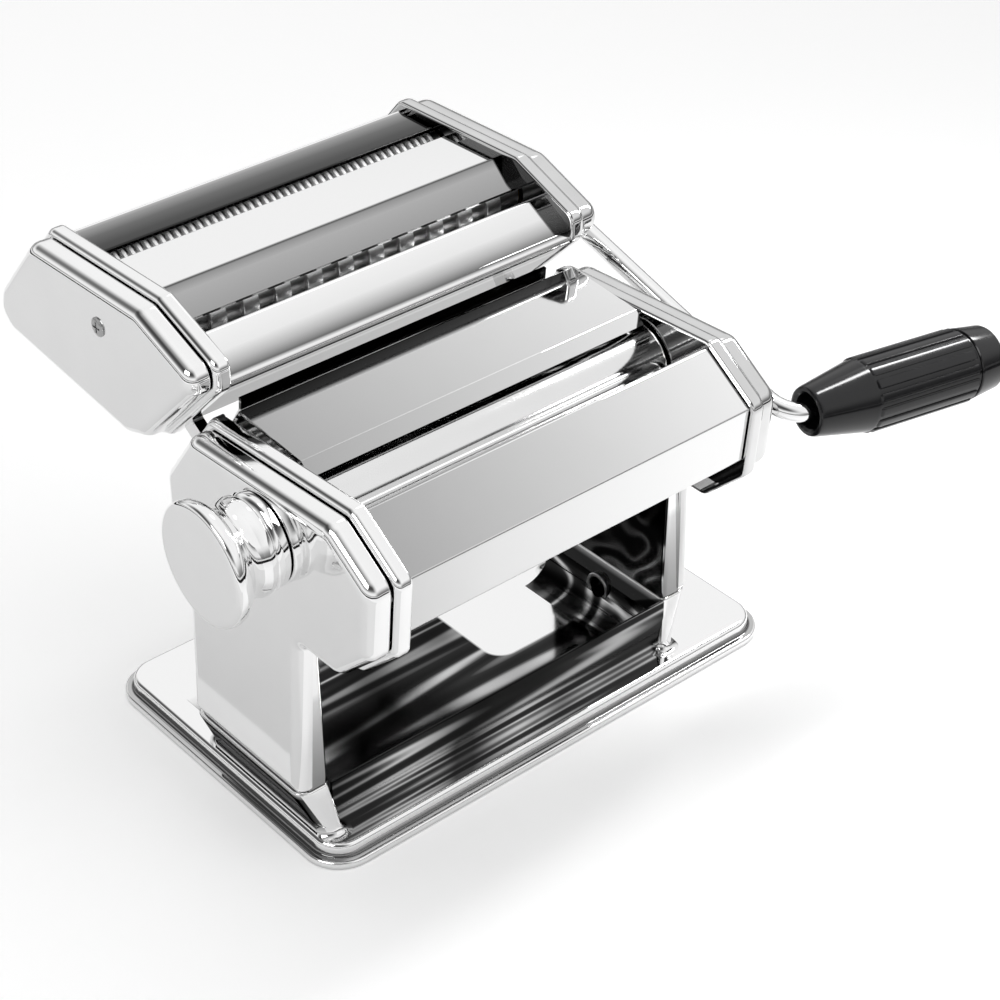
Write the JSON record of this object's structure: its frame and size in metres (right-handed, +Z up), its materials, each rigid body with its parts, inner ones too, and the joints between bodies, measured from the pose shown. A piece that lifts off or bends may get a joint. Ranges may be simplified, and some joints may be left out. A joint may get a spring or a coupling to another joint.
{
  "type": "pasta roller machine",
  "caption": "Hand-cranked pasta roller with a gap regulator knob, a lift-off cutter head, splayed legs on a dished base and a pull-out crank.",
  "frame": {"origin": "on the table under the middle of the rollers' length and the middle of the base's depth", "axes": "+X along the roller axes towards the crank, +Y from the front to the cutter head, +Z up"},
  "size_m": [0.2949, 0.2241, 0.1775],
  "materials": {
    "chromed_sheet": "mirror polished",
    "roller_steel": "ground and plated",
    "frame_steel": "bright plated",
    "plain_steel": "satin",
    "gear_steel": "oiled",
    "fastener_steel": "zinc plated",
    "bush_brass": "machined",
    "grip_plastic": "gloss"
  },
  "bodies": {
    "body": {"base_plate": "chromed_sheet", "base_screws": "fastener_steel", "left_side_cover": "chromed_sheet", "right_side_cover": "chromed_sheet", "left_inner_frame": "frame_steel", "right_inner_frame": "frame_steel", "tie_rods": "plain_steel", "frame_screws": "fastener_steel", "front_cover": "chromed_sheet", "dough_guard": "chromed_sheet", "rear_cover": "chromed_sheet", "front_roller_bushes": "bush_brass", "front_scraper": "plain_steel", "rear_scraper": "plain_steel", "regulator_bushes": "bush_brass"},
    "front_roller": {"front_roller": "roller_steel", "front_roller_gear": "gear_steel"},
    "roller_carriage": {"rear_roller_bushes": "bush_brass"},
    "rear_roller": {"rear_roller": "roller_steel", "rear_roller_gear": "gear_steel"},
    "regulator": {"regulator_shaft": "chromed_sheet", "spring_washer": "fastener_steel", "knob_spring": "fastener_steel"},
    "knob": {"regulator_knob": "chromed_sheet", "index_pin": "fastener_steel"},
    "cutter_head": {"head_left_frame": "frame_steel", "head_right_frame": "frame_steel", "head_left_cover": "chromed_sheet", "head_right_cover": "chromed_sheet", "cover_posts": "plain_steel", "cover_screws": "fastener_steel", "head_tie_rods": "plain_steel", "head_frame_screws": "fastener_steel", "head_rear_panel": "chromed_sheet", "head_middle_panel": "chromed_sheet", "head_front_panel": "chromed_sheet", "head_hooks": "chromed_sheet", "cutter_bushes": "bush_brass", "wide_comb_front": "plain_steel", "wide_comb_rear": "plain_steel", "fine_comb_front": "plain_steel", "fine_comb_rear": "plain_steel"},
    "wide_driven": {"wide_cutter_front": "roller_steel", "wide_gear_front": "gear_steel"},
    "wide_idle": {"wide_cutter_rear": "roller_steel", "wide_gear_rear": "gear_steel"},
    "fine_driven": {"fine_cutter_front": "roller_steel", "fine_gear_front": "gear_steel"},
    "fine_idle": {"fine_cutter_rear": "roller_steel", "fine_gear_rear": "gear_steel"},
    "crank": {"crank_rod": "chromed_sheet"},
    "grip": {"crank_grip": "grip_plastic", "grip_cap": "grip_plastic"}
  },
  "joints": [
    {"name": "front_roller_spin", "type": "hinge", "parent": "body", "child": "front_roller", "pos_m": [0, -0.07, 0.124], "axis": [1, 0, 0], "continuous": true},
    {"name": "regulator_turn", "type": "hinge", "parent": "body", "child": "regulator", "pos_m": [0, -0.0381, 0.124], "axis": [1, 0, 0], "range_deg": [0, 180]},
    {"name": "knob_pull", "type": "slide", "parent": "regulator", "child": "knob", "axis": [-1, 0, 0], "range_m": [0, 0.005], "stiffness_N_per_m": 300, "springref_m": -0.01, "deforming": ["knob_spring"]},
    {"name": "roller_gap", "type": "slide", "parent": "body", "child": "roller_carriage", "axis": [0, -1, 0], "range_m": [0, 0.0022]},
    {"name": "rear_roller_spin", "type": "hinge", "parent": "roller_carriage", "child": "rear_roller", "pos_m": [0, -0.037, 0.124], "axis": [1, 0, 0], "continuous": true},
    {"name": "head_lift", "type": "slide", "parent": "body", "child": "cutter_head", "axis": [0, 0.7071, 0.7071], "range_m": [0, 0.07]},
    {"name": "wide_driven_spin", "type": "hinge", "parent": "cutter_head", "child": "wide_driven", "pos_m": [0, 0.0194, 0.1496], "axis": [1, 0, 0], "continuous": true},
    {"name": "wide_idle_spin", "type": "hinge", "parent": "cutter_head", "child": "wide_idle", "pos_m": [0, 0.03288, 0.16091], "axis": [1, 0, 0], "continuous": true},
    {"name": "fine_driven_spin", "type": "hinge", "parent": "cutter_head", "child": "fine_driven", "pos_m": [0, 0.0542, 0.161], "axis": [1, 0, 0], "continuous": true},
    {"name": "fine_idle_spin", "type": "hinge", "parent": "cutter_head", "child": "fine_idle", "pos_m": [0, 0.0718, 0.161], "axis": [1, 0, 0], "continuous": true},
    {"name": "crank_pull", "type": "slide", "parent": "wide_driven", "child": "crank", "axis": [1, 0, 0], "range_m": [0, 0.03]},
    {"name": "grip_spin", "type": "hinge", "parent": "crank", "child": "grip", "pos_m": [0.098, -0.08429, 0.11288], "axis": [0.9877, -0.1475, -0.0522], "continuous": true}
  ],
  "couplings": [
    {"joint": "rear_roller_spin", "follows": "front_roller_spin", "ratio": -1},
    {"joint": "roller_gap", "follows": "regulator_turn", "m_per_rad": 0.00070028},
    {"joint": "wide_idle_spin", "follows": "wide_driven_spin", "ratio": -1},
    {"joint": "fine_idle_spin", "follows": "fine_driven_spin", "ratio": -1}
  ]
}
